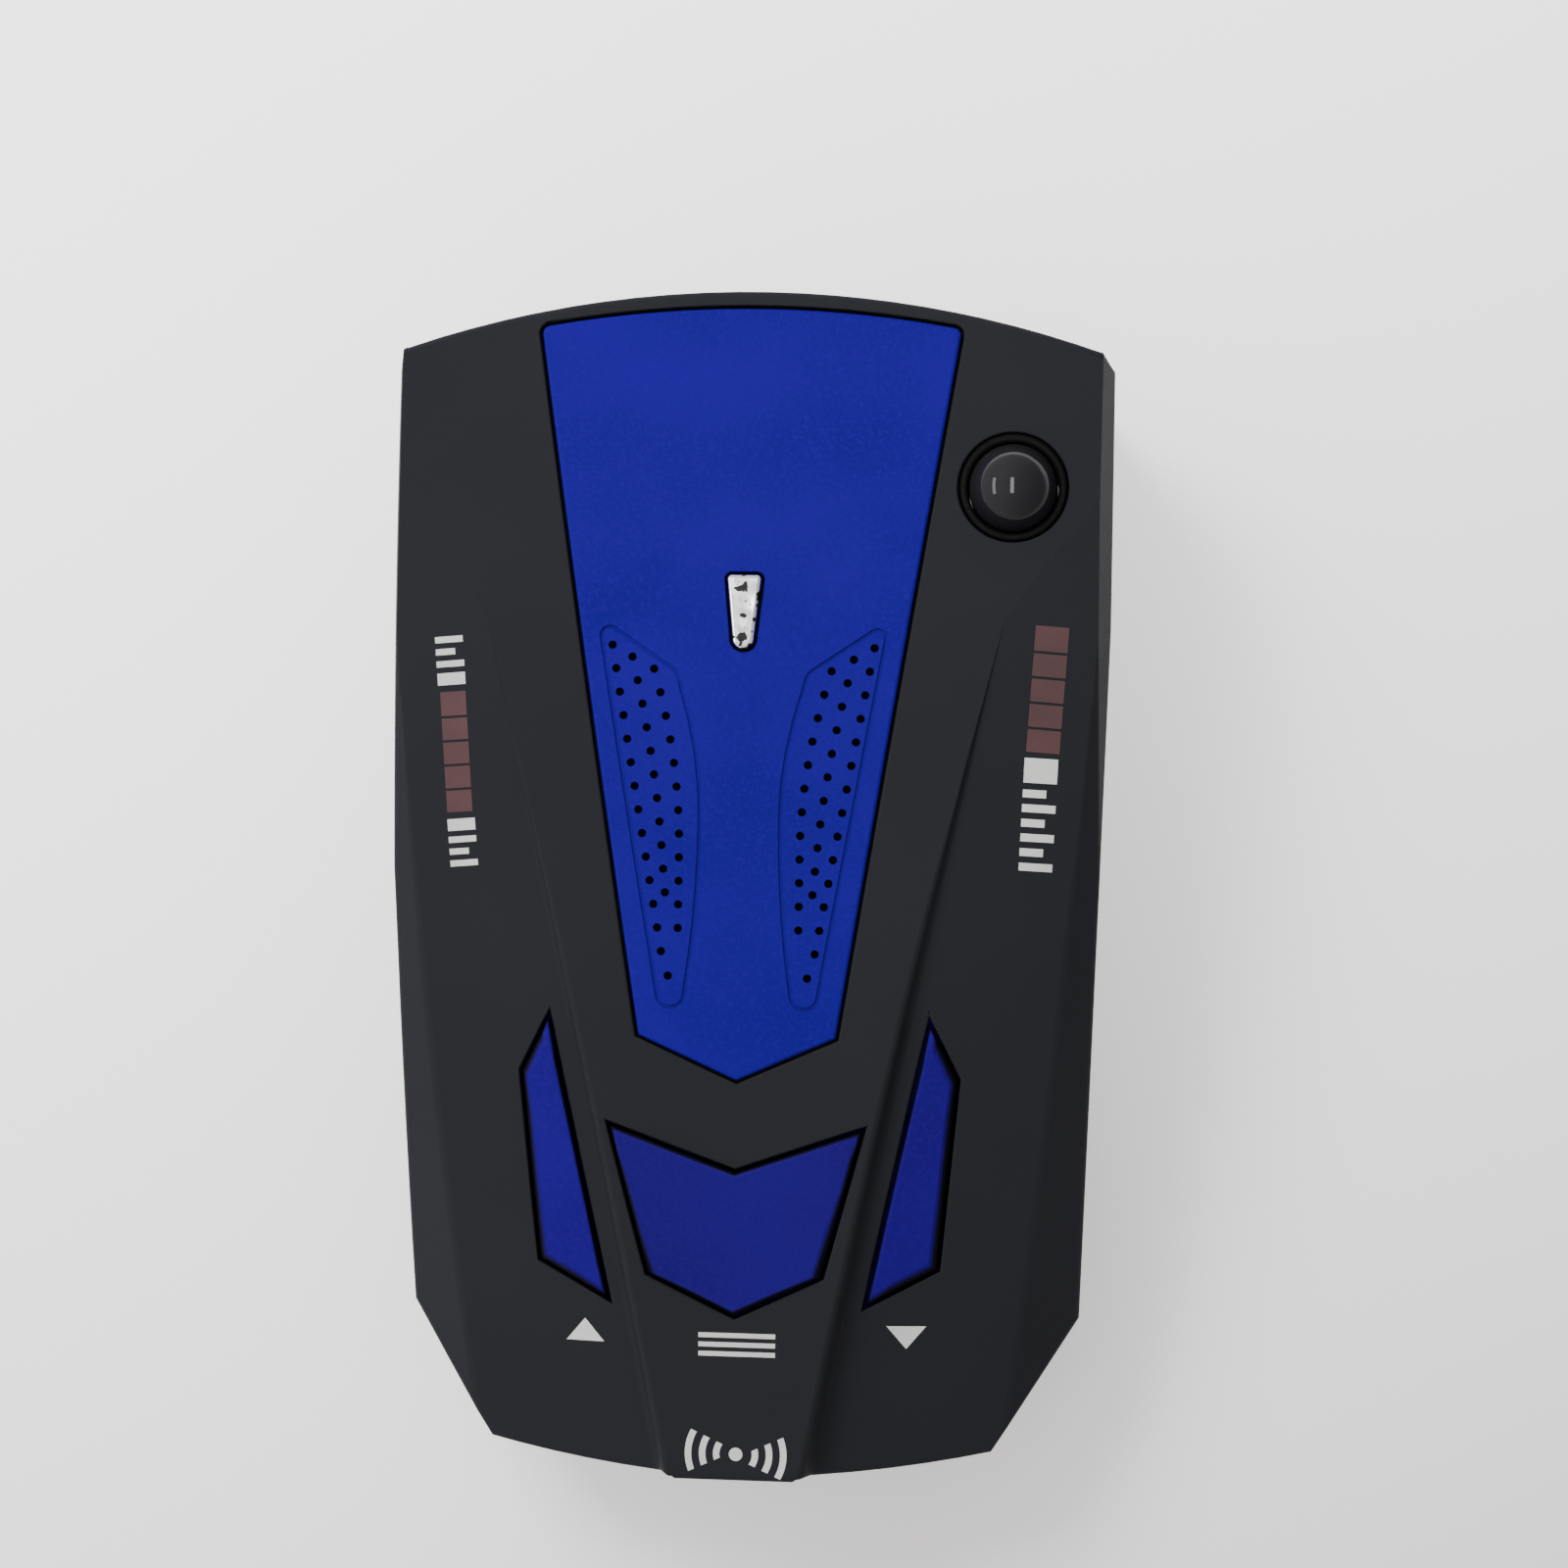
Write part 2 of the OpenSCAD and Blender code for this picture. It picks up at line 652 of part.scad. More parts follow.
module speaker_cone() color([0.12, 0.12, 0.13]) translate([speaker_at.x, speaker_at.y, speaker_z])
    rotate_extrude($fn = round_fn) polygon([
        [0, -1.6], [2.2, -2], [3.4, -3.3], [9, -0.7], [10.2, -0.2], [11.5, -0.1],
        [11.5, -0.45], [10.2, -0.6], [9, -1.1], [3.2, -3.9], [2, -2.5], [0, -2.2]
    ]);

module speaker_magnet() color([0.3, 0.3, 0.32]) {
    rod(8, speaker_z - 8.9, speaker_z - 5.3, speaker_at);
    rod(2.9, speaker_z - 5.4, speaker_z - 4.4, speaker_at);
}

module speaker_leads() color([0.7, 0.1, 0.1])
    for (dy = [-1.2, 1.2]) rod(0.45, board_top, speaker_z - 1, [speaker_at.x + 13.2, speaker_at.y + dy]);

// Flared mouth towards the road, and the waveguide behind it
module horn_antenna() color([0.7, 0.71, 0.73]) difference() {
    hull() {
        block([-15, horn_y[1] - 1, board_top], [15, horn_y[1], horn_z + 7.5]);
        block([-7, horn_y[0], horn_z - 4.2], [7, horn_y[0] + 1, horn_z + 4.2]);
    }
    hull() {
        block([-14.2, horn_y[1], horn_z - 6.7], [14.2, horn_y[1] + 1, horn_z + 6.7]);
        block([-5.4, horn_y[0] + 1, horn_z - 2.7], [5.4, horn_y[0] + 2, horn_z + 2.7]);
    }
}

module mixer_can() color([0.75, 0.76, 0.78]) block([-9.5, 15, board_top], [9.5, horn_y[0], 13.4]);

module laser_sensor() color([0.1, 0.1, 0.11]) block([-22.4, 41, board_top], [-16.6, 45, 11]);

module laser_lens() color([0.2, 0.1, 0.12, 0.7]) translate([-19.5, 45, 8.1]) rotate([-90, 0, 0]) {
    cylinder(r = 2.6, h = 1, $fn = round_fn);
    translate([0, 0, 1]) intersection() {
        translate([0, 0, -1.6]) sphere(r = 3.05, $fn = round_fn);
        cylinder(r = 4, h = 4, $fn = round_fn);
    }
}

// A chip's body and its two rows of legs
module chip(at, body, legs) {
    color([0.06, 0.06, 0.06]) block([at.x - body.x / 2, at.y - body.y / 2, board_top + 0.15],
                                    [at.x + body.x / 2, at.y + body.y / 2, board_top + body.z]);
    color([0.75, 0.75, 0.75]) for (side = [-1, 1], i = [0 : legs - 1])
        translate([at.x + side * (body.x / 2 + 0.3), at.y + (i - (legs - 1) / 2) * 1.27, board_top])
            translate([-0.5, -0.2, 0]) cube([1, 0.4, 0.6]);
}

module controller_chip() chip([13.5, -8], [7.5, 13, 1.8], 10);
module voice_chip() chip([-12, -12], [4, 8, 1.6], 6);
module amplifier_chip() chip([-13, 20], [4, 5, 1.6], 4);

module crystal() color([0.8, 0.8, 0.8]) block([18, 5, board_top], [22.5, 16, board_top + 3.2]);

// Upright electrolytic cans
module capacitors() color([0.2, 0.25, 0.35]) {
    for (p = [[18, 22, 3, 8], [-17, 30, 2.5, 7], [-18, 8, 2.5, 6]])
        rod(p[2], board_top, board_top + p[3], [p.x, p.y]);
}

module inductor() color([0.3, 0.3, 0.3]) ring(1.4, 4.2, board_top, board_top + 4, [-21, 20.5]);

module regulator() color([0.08, 0.08, 0.08]) block([23.5, 10, board_top], [27.5, 20, board_top + 1.8]);

top_cover();
bottom_cover();
centre_panel();
chrome_insert();
grille_mesh();
laser_dome();
dome_seal();
dome_sensor();
sensor_board();
sensor_header();
display_window();
front_lens();
rating_label();
case_screws();
up_button();
menu_button();
down_button();
up_plunger();
menu_plunger();
down_plunger();
up_switch();
menu_switch();
down_switch();
volume_wheel();
wheel_rivet();
potentiometer();
power_socket();
main_board();
board_screws();
display_board();
display_header();
led_display();
led_segments();
speaker_gasket();
speaker_frame();
speaker_cone();
speaker_magnet();
speaker_leads();
horn_antenna();
mixer_can();
laser_sensor();
laser_lens();
controller_chip();
voice_chip();
amplifier_chip();
crystal();
capacitors();
inductor();
regulator();
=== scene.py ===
import math
import bmesh
import bpy
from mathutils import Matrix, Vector
from mathutils.bvhtree import BVHTree


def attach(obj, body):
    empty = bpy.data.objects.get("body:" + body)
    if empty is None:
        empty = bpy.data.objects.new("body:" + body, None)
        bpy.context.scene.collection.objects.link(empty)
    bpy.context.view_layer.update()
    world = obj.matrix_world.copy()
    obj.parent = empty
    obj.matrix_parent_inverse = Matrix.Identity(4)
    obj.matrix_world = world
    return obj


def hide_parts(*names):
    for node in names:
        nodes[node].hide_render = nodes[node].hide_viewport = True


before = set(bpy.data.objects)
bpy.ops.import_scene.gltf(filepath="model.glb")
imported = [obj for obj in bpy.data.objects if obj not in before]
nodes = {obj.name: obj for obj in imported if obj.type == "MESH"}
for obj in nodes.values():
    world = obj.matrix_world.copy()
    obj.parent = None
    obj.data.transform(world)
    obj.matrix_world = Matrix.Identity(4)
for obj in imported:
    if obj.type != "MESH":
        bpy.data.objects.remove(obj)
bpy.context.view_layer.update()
mm = 0.001
print("frame:", len(nodes), "nodes")


def deselectAll():
    if bpy.context.mode != "OBJECT":
        bpy.ops.object.mode_set(mode="OBJECT")
    bpy.ops.object.select_all(action="DESELECT")


def makeActive(piece):
    deselectAll()
    piece.select_set(True)
    bpy.context.view_layer.objects.active = piece


def applyModifiers(piece):
    makeActive(piece)
    for modifier in list(piece.modifiers):
        bpy.ops.object.modifier_apply(modifier=modifier.name)


def settle(piece):    # bakes the object's own place and turn into its mesh
    makeActive(piece)
    bpy.ops.object.transform_apply(location=True, rotation=True, scale=True)


def newFinish(name):
    finish = bpy.data.materials.new(name)
    finish.use_nodes = True
    return finish, finish.node_tree, finish.node_tree.nodes["Principled BSDF"]


def addNode(tree, kind, values=None, **settings):
    made = tree.nodes.new(kind)
    for key, value in settings.items():
        setattr(made, key, value)
    for key, value in (values or {}).items():
        made.inputs[key].default_value = value
    return made


def addNoise(tree, place, scale, detail=3.0, roughness=0.5):
    made = addNode(tree, "ShaderNodeTexNoise", {"Scale": scale, "Detail": detail, "Roughness": roughness})
    tree.links.new(place, made.inputs["Vector"])
    return made.outputs["Fac"]


def addRange(tree, source, low, high, toLow=0.0, toHigh=1.0):
    limits = {"From Min": low, "From Max": high, "To Min": toLow, "To Max": toHigh}
    made = addNode(tree, "ShaderNodeMapRange", limits)
    tree.links.new(source, made.inputs["Value"])
    return made.outputs["Result"]


def addMix(tree, factor, first, second):
    made = addNode(tree, "ShaderNodeMix", data_type="RGBA")
    tree.links.new(factor, made.inputs["Factor"])
    for socket, colour in ((made.inputs[6], first), (made.inputs[7], second)):
        if isinstance(colour, tuple):
            socket.default_value = (*colour, 1.0)
        else:
            tree.links.new(colour, socket)
    return made.outputs[2]


def addBump(tree, height, strength, distance):
    made = addNode(tree, "ShaderNodeBump", {"Strength": strength, "Distance": distance})
    tree.links.new(height, made.inputs["Height"])
    return made.outputs["Normal"]


def surface(name, look):    # two shades in broad patches, a fine grain, and a roughness that varies with it
    finish, tree, shader = newFinish(name)
    place = addNode(tree, "ShaderNodeTexCoord").outputs["Object"]
    patches = addRange(tree, addNoise(tree, place, look.get("patchScale", 90.0), 2.0), 0.35, 0.65)
    grain = addNoise(tree, place, look.get("grainScale", 3000.0), 2.0, 0.6)
    colour = addMix(tree, patches, look["dark"], look["light"])
    if "fleck" in look:
        colour = addMix(tree, addRange(tree, grain, 0.45, 0.75), colour, look["fleck"])
    tree.links.new(colour, shader.inputs["Base Color"])
    tree.links.new(addRange(tree, grain, 0.3, 0.7, *look["rough"]), shader.inputs["Roughness"])
    relief = addBump(tree, grain, look.get("bump", 0.1), look.get("depth", 0.00003))
    tree.links.new(relief, shader.inputs["Normal"])
    shader.inputs["Metallic"].default_value = look.get("metal", 0.0)
    shader.inputs["Specular IOR Level"].default_value = look.get("specular", 0.4)
    return finish


caseLooks = {
    "softBlack": {"dark": (0.0149, 0.0154, 0.0187), "light": (0.0160, 0.0166, 0.0201), "rough": (0.60, 0.72),
                  "grainScale": 5200.0, "bump": 0.10, "depth": 0.00002, "specular": 0.05, "patchScale": 45.0},
    "baseBlack": {"dark": (0.0130, 0.0132, 0.0142), "light": (0.0170, 0.0172, 0.0182), "rough": (0.48, 0.72),
                  "grainScale": 2600.0, "bump": 0.35, "depth": 0.00005, "specular": 0.30, "patchScale": 60.0},
    "printWhite": {"dark": (0.50, 0.50, 0.50), "light": (0.60, 0.60, 0.59), "rough": (0.55, 0.7),
                   "grainScale": 6000.0, "bump": 0.08, "depth": 0.00001, "specular": 0.25},
    "printRed": {"dark": (0.052, 0.022, 0.024), "light": (0.072, 0.028, 0.030), "rough": (0.5, 0.65),
                 "grainScale": 6000.0, "bump": 0.08, "depth": 0.00001, "specular": 0.25},
    "blackRubber": {"dark": (0.0015, 0.0015, 0.0018), "light": (0.003, 0.003, 0.0034), "rough": (0.6, 0.75),
                    "grainScale": 4000.0, "bump": 0.1, "depth": 0.00002, "specular": 0.12},
    "sensorBlack": {"dark": (0.003, 0.003, 0.004), "light": (0.008, 0.007, 0.010), "rough": (0.12, 0.2),
                    "specular": 0.5, "bump": 0.02, "depth": 0.00001},
    "labelFoil": {"dark": (0.30, 0.30, 0.31), "light": (0.36, 0.36, 0.37), "rough": (0.38, 0.5),
                  "metal": 0.4, "grainScale": 5000.0, "bump": 0.05, "depth": 0.00001},
    "screwSteel": {"dark": (0.13, 0.13, 0.135), "light": (0.20, 0.20, 0.205), "rough": (0.28, 0.42),
                   "metal": 0.9, "grainScale": 7000.0, "bump": 0.1, "depth": 0.00001},
    "wheelBlack": {"dark": (0.010, 0.010, 0.011), "light": (0.015, 0.015, 0.016), "rough": (0.4, 0.55),
                   "grainScale": 3500.0, "bump": 0.2, "depth": 0.00003},
    "socketBlack": {"dark": (0.008, 0.008, 0.009), "light": (0.012, 0.012, 0.013), "rough": (0.3, 0.4),
                    "grainScale": 4500.0, "bump": 0.08, "depth": 0.00002},
}
insideLooks = {
    "circuitBoard": {"dark": (0.008, 0.070, 0.028), "light": (0.014, 0.100, 0.042),
                     "fleck": (0.03, 0.16, 0.07), "rough": (0.28, 0.42), "grainScale": 900.0,
                     "bump": 0.12, "depth": 0.00003},
    "goldPins": {"dark": (0.62, 0.44, 0.16), "light": (0.75, 0.56, 0.24), "rough": (0.22, 0.34),
                 "metal": 1.0},
    "whiteNylon": {"dark": (0.58, 0.57, 0.53), "light": (0.68, 0.67, 0.63), "rough": (0.42, 0.55)},
    "chipBlack": {"dark": (0.012, 0.012, 0.012), "light": (0.020, 0.020, 0.020), "rough": (0.5, 0.7),
                  "grainScale": 3800.0, "bump": 0.25, "depth": 0.00003},
    "carbonTrack": {"dark": (0.016, 0.013, 0.010), "light": (0.028, 0.022, 0.016), "rough": (0.5, 0.65)},
    "foamGrey": {"dark": (0.035, 0.035, 0.037), "light": (0.060, 0.060, 0.063), "rough": (0.85, 0.98),
                 "grainScale": 1800.0, "bump": 0.8, "depth": 0.0001, "specular": 0.1},
    "platedSteel": {"dark": (0.42, 0.42, 0.40), "light": (0.52, 0.52, 0.50), "rough": (0.26, 0.40),
                    "metal": 1.0},
    "paperCone": {"dark": (0.016, 0.015, 0.014), "light": (0.030, 0.028, 0.026), "rough": (0.75, 0.92),
                  "grainScale": 1400.0, "bump": 0.5, "depth": 0.00006, "specular": 0.15},
    "ferrite": {"dark": (0.040, 0.040, 0.042), "light": (0.060, 0.060, 0.063), "rough": (0.5, 0.68),
                "grainScale": 2200.0, "bump": 0.3, "depth": 0.00004},
    "redWire": {"dark": (0.34, 0.015, 0.012), "light": (0.44, 0.022, 0.018), "rough": (0.35, 0.46)},
    "dieCast": {"dark": (0.36, 0.37, 0.38), "light": (0.46, 0.47, 0.48), "rough": (0.38, 0.52),
                "metal": 0.9, "grainScale": 2000.0, "bump": 0.25, "depth": 0.00004},
    "capacitorSleeve": {"dark": (0.010, 0.012, 0.035), "light": (0.015, 0.018, 0.050), "rough": (0.25, 0.36)},
}
looks = {name: surface(name, look) for name, look in {**caseLooks, **insideLooks}.items()}
print("finishes:", len(looks))

# Satin paint: fine mottled grain over slow drifts of hue.
# Faces that turn away from up take a darker colour: painted shade on the panel's steep walls and hole walls, near
# black on the buttons' rounded edges.
paintLooks = {
    # the panel's side colour is painted shade, a dark copy of its blue
    "bluePanel": {"dark": (0.0100, 0.0000, 0.158), "light": (0.0122, 0.0000, 0.188),
                  "fleck": (0.0145, 0.0008, 0.205), "side": (0.002, 0.002, 0.040),
                  "turnFrom": 0.45, "turnTo": 0.75, "rough": (0.42, 0.55)},
    "blueButton": {"dark": (0.0108, 0.0008, 0.110), "light": (0.0130, 0.0014, 0.130),
                   "fleck": (0.0150, 0.0028, 0.144), "side": (0.0035, 0.0035, 0.007),
                   "turnFrom": 0.80, "turnTo": 0.985, "rough": (0.42, 0.55)},
    "violetButton": {"dark": (0.0120, 0.0000, 0.132), "light": (0.0144, 0.0000, 0.160),
                     "fleck": (0.0168, 0.0003, 0.178), "side": (0.0035, 0.0035, 0.007),
                     "turnFrom": 0.70, "turnTo": 0.95, "rough": (0.42, 0.55)},
}


paintGrain = {"patchScale": 70.0, "mottleScale": 2600.0, "flakeScale": 5200.0, "bump": 0.12, "depth": 0.00002,
              "specular": 0.03}


def satinPaint(name, look):
    finish, tree, shader = newFinish(name)
    coords = addNode(tree, "ShaderNodeTexCoord")
    place = coords.outputs["Object"]
    patches = addRange(tree, addNoise(tree, place, paintGrain["patchScale"], 2.0), 0.35, 0.65)
    mottle = addNoise(tree, place, paintGrain["mottleScale"], 3.0, 0.6)
    flakes = addNoise(tree, place, paintGrain["flakeScale"], 1.0)
    colour = addMix(tree, patches, look["dark"], look["light"])
    colour = addMix(tree, addRange(tree, mottle, 0.48, 0.72), colour, look["fleck"])
    up = addNode(tree, "ShaderNodeSeparateXYZ")
    tree.links.new(coords.outputs["Normal"], up.inputs["Vector"])
    # faces turned away from up take the side colour: painted shade on the panel, near black on the buttons
    facing = addRange(tree, up.outputs["Z"], look["turnFrom"], look["turnTo"])
    tree.links.new(addMix(tree, facing, look["side"], colour), shader.inputs["Base Color"])
    tree.links.new(addRange(tree, mottle, 0.3, 0.7, *look["rough"]), shader.inputs["Roughness"])
    relief = addBump(tree, flakes, paintGrain["bump"], paintGrain["depth"])
    tree.links.new(relief, shader.inputs["Normal"])
    shader.inputs["Specular IOR Level"].default_value = paintGrain["specular"]
    return finish


for name, look in paintLooks.items():
    looks[name] = satinPaint(name, look)

# Bright plating with slight ripples. Near the driver's end it has black spots, which are painted reflections.
chromeLook = {"colour": (0.86, 0.87, 0.88), "smear": (0.62, 0.63, 0.65), "smearScale": 900.0,
              "rough": (0.05, 0.14), "ripple": 260.0, "paintedReflection": (0.004, 0.004, 0.004),
              "reflectionCentre": (0.0005, 0.0222, 0.0280), "reflectionReach": 0.0034, "spotScale": 1100.0,
              "reflectionFrom": 0.61, "reflectionTo": 0.63}


def brightPlating():
    finish, tree, shader = newFinish("chrome")
    place = addNode(tree, "ShaderNodeTexCoord").outputs["Object"]
    ripple = addNoise(tree, place, chromeLook["ripple"], 1.0)
    smears = addNoise(tree, place, chromeLook["smearScale"], 3.0)
    spots = addNoise(tree, place, chromeLook["spotScale"], 2.0, 0.45)
    away = addNode(tree, "ShaderNodeVectorMath", operation="DISTANCE")
    away.inputs[1].default_value = chromeLook["reflectionCentre"]
    tree.links.new(place, away.inputs[0])
    near = addRange(tree, away.outputs["Value"], 0.0, chromeLook["reflectionReach"], 0.14, 0.0)
    reflectionAmount = addNode(tree, "ShaderNodeMath", operation="ADD")
    tree.links.new(spots, reflectionAmount.inputs[0])
    tree.links.new(near, reflectionAmount.inputs[1])
    # painted reflection: where the spots, which are more likely near the driver's end, pass a threshold, the
    # plating turns black and less metallic
    paintedReflection = addRange(tree, reflectionAmount.outputs["Value"], chromeLook["reflectionFrom"], chromeLook["reflectionTo"])
    plated = addMix(tree, addRange(tree, smears, 0.5, 0.75), chromeLook["colour"], chromeLook["smear"])
    tree.links.new(addMix(tree, paintedReflection, plated, chromeLook["paintedReflection"]), shader.inputs["Base Color"])
    tree.links.new(addRange(tree, smears, 0.3, 0.7, *chromeLook["rough"]), shader.inputs["Roughness"])
    tree.links.new(addBump(tree, ripple, 0.35, 0.0003), shader.inputs["Normal"])
    tree.links.new(addRange(tree, paintedReflection, 0.0, 1.0, 1.0, 0.2), shader.inputs["Metallic"])
    return finish


looks["chrome"] = brightPlating()

# Smoked acrylic: nearly black, glossy, with a faint view of what is behind it
lensLook = {"clear": (0.012, 0.011, 0.013), "cloud": (0.0105, 0.0095, 0.0115), "rough": (0.035, 0.055),
            "cloudScale": 400.0, "through": 0.06, "ior": 1.49, "gloss": 0.22}


def smokedAcrylic():
    finish, tree, shader = newFinish("smokedAcrylic")
    place = addNode(tree, "ShaderNodeTexCoord").outputs["Object"]
    clouds = addNoise(tree, place, lensLook["cloudScale"], 2.0)
    tree.links.new(addMix(tree, addRange(tree, clouds, 0.35, 0.65), lensLook["clear"], lensLook["cloud"]),
                   shader.inputs["Base Color"])
    tree.links.new(addRange(tree, clouds, 0.3, 0.7, *lensLook["rough"]), shader.inputs["Roughness"])
    shader.inputs["Transmission Weight"].default_value = lensLook["through"]
    shader.inputs["IOR"].default_value = lensLook["ior"]
    shader.inputs["Specular IOR Level"].default_value = lensLook["gloss"]
    return finish


looks["smokedAcrylic"] = smokedAcrylic()

# Gauze: round threads crossing at right angles, raised by a bump
gauzeLook = {"thread": (0.012, 0.012, 0.013), "gap": (0.001, 0.001, 0.001), "pitch": 0.00016}


def acousticGauze():
    finish, tree, shader = newFinish("gauze")
    place = addNode(tree, "ShaderNodeTexCoord").outputs["Object"]
    threads = []
    for direction in ("X", "Y"):
        wave = addNode(tree, "ShaderNodeTexWave", {"Scale": 0.314 / gauzeLook["pitch"], "Distortion": 0.4},
                       bands_direction=direction)
        tree.links.new(place, wave.inputs["Vector"])
        threads.append(wave.outputs["Fac"])
    weave = addNode(tree, "ShaderNodeMath", operation="MAXIMUM")
    for i, thread in enumerate(threads):
        tree.links.new(thread, weave.inputs[i])
    colour = addMix(tree, weave.outputs["Value"], gauzeLook["gap"], gauzeLook["thread"])
    tree.links.new(colour, shader.inputs["Base Color"])
    tree.links.new(addBump(tree, weave.outputs["Value"], 0.8, 0.00008), shader.inputs["Normal"])
    shader.inputs["Roughness"].default_value = 0.85
    shader.inputs["Specular IOR Level"].default_value = 0.1
    return finish


looks["gauze"] = acousticGauze()

# Lit bars: frosted epoxy that glows a little, in soft uneven patches
litLook = {"deep": (0.55, 0.07, 0.03), "bright": (0.95, 0.30, 0.12), "cloudScale": 700.0, "glow": 0.35,
           "rough": 0.45}


def litBars():
    finish, tree, shader = newFinish("litBars")
    place = addNode(tree, "ShaderNodeTexCoord").outputs["Object"]
    clouds = addRange(tree, addNoise(tree, place, litLook["cloudScale"], 2.0), 0.35, 0.65)
    colour = addMix(tree, clouds, litLook["deep"], litLook["bright"])
    tree.links.new(colour, shader.inputs["Base Color"])
    tree.links.new(colour, shader.inputs["Emission Color"])
    shader.inputs["Emission Strength"].default_value = litLook["glow"]
    shader.inputs["Roughness"].default_value = litLook["rough"]
    return finish


looks["litBars"] = litBars()

finishOfNode = {
    "softBlack": ["top_cover"], "baseBlack": ["bottom_cover"],
    "bluePanel": ["centre_panel"], "chrome": ["chrome_insert"], "gauze": ["grille_mesh"],
    "smokedAcrylic": ["laser_dome", "display_window", "front_lens"], "blackRubber": ["dome_seal"],
    "sensorBlack": ["dome_sensor", "laser_sensor", "laser_lens"],
    "circuitBoard": ["sensor_board", "main_board", "display_board"],
    "goldPins": ["sensor_header", "display_header"],
    "labelFoil": ["rating_label"], "screwSteel": ["case_screws", "board_screws", "wheel_rivet"],
    "violetButton": ["up_button", "down_button"], "blueButton": ["menu_button"],
    "whiteNylon": ["up_plunger", "menu_plunger", "down_plunger"],
    "chipBlack": ["up_switch", "menu_switch", "down_switch", "controller_chip", "voice_chip",
                  "amplifier_chip", "inductor", "led_display", "regulator"],
    "wheelBlack": ["volume_wheel"], "carbonTrack": ["potentiometer"], "socketBlack": ["power_socket"],
    "litBars": ["led_segments"], "foamGrey": ["speaker_gasket"],
    "platedSteel": ["speaker_frame", "crystal"], "paperCone": ["speaker_cone"],
    "ferrite": ["speaker_magnet"], "redWire": ["speaker_leads"],
    "dieCast": ["horn_antenna", "mixer_can"], "capacitorSleeve": ["capacitors"],
}
for name, owners in finishOfNode.items():
    for owner in owners:
        mesh = nodes[owner].data
        for i in range(max(1, len(nodes[owner].material_slots))):
            if not nodes[owner].material_slots:
                mesh.materials.append(looks[name])
            nodes[owner].material_slots[i].link = "OBJECT"
            nodes[owner].material_slots[i].material = looks[name]
bare = [name for name in nodes if not any(name in owners for owners in finishOfNode.values())]
print("nodes finished, left bare:", bare)

# Moulded edges on the parts that show.
# A part is copied, its faces are joined, and the edges that the picker chooses are rounded.
# Widths are in millimetres; a picked edge takes its share of the width. Turns are in degrees.
edgeRules = {"join": 0.002, "flatBelow": 0.15, "alwaysSmooth": 0.5, "smoothBelow": 25.0, "roundFrom": 18.0}


def roundedCopy(owner, pieceName, width, pick, segments=3):
    piece = bpy.data.objects.new(pieceName, nodes[owner].data.copy())
    bpy.context.scene.collection.objects.link(piece)
    makeActive(piece)
    bpy.ops.object.mode_set(mode="EDIT")
    bpy.ops.mesh.select_mode(type="EDGE")
    bpy.ops.mesh.select_all(action="DESELECT")
    bpy.ops.mesh.select_non_manifold(use_wire=False, use_boundary=True, use_multi_face=False,
                                     use_non_contiguous=False, use_verts=False)
    bpy.ops.mesh.mark_sharp()
    bpy.ops.mesh.select_all(action="SELECT")
    bpy.ops.mesh.remove_doubles(threshold=edgeRules["join"] * mm)
    bpy.ops.mesh.dissolve_limited(angle_limit=math.radians(edgeRules["flatBelow"]), delimit={"SHARP"})
    form = bmesh.from_edit_mesh(piece.data)
    form.normal_update()
    over = BVHTree.FromBMesh(form)
    layers = form.edges.layers.float
    weights = layers.get("bevel_weight_edge") or layers.new("bevel_weight_edge")
    picked = 0
    for edge in form.edges:
        if len(edge.link_faces) != 2:
            continue
        turn = math.degrees(edge.calc_face_angle(0.0))
        edge.smooth = turn < edgeRules["alwaysSmooth"] or edge.smooth and turn < edgeRules["smoothBelow"]
        if turn < edgeRules["roundFrom"]:
            continue
        middle = (edge.verts[0].co + edge.verts[1].co) / 2
        share = pick(edge, middle / mm, over)
        if share:
            edge[weights] = share
            picked += 1
    bmesh.update_edit_mesh(piece.data)
    bpy.ops.object.mode_set(mode="OBJECT")
    bpy.ops.mesh.customdata_custom_splitnormals_clear()
    bpy.ops.object.shade_smooth(keep_sharp_edges=True)
    bevel = piece.modifiers.new("edges", "BEVEL")
    bevel.limit_method = "WEIGHT"
    bevel.width = width * mm
    bevel.segments = segments
    bevel.use_clamp_overlap = False
    shading = piece.modifiers.new("shading", "WEIGHTED_NORMAL")
    shading.keep_sharp = True
    applyModifiers(piece)
    piece.data.materials.clear()
    piece.data.materials.append(nodes[owner].material_slots[0].material)
    print("rounded", pieceName, "edges", picked, "faces", len(piece.data.polygons))
    return piece


def openAbove(middle, over, side=Vector((0, 0, 1))):
    start = Vector(middle) * mm + side * 0.00004
    return over.ray_cast(start, side)[0] is None


def finishCopy(piece, owner, body):
    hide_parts(owner)
    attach(piece, body)


topEdges = {"outer": 0.45, "opening": 0.16, "crease": 0.45, "fadeEnd": 16.0, "fadeLength": 24.0,
            "sideFrom": 29.0, "frontFrom": 48.0, "rearFrom": -46.0}


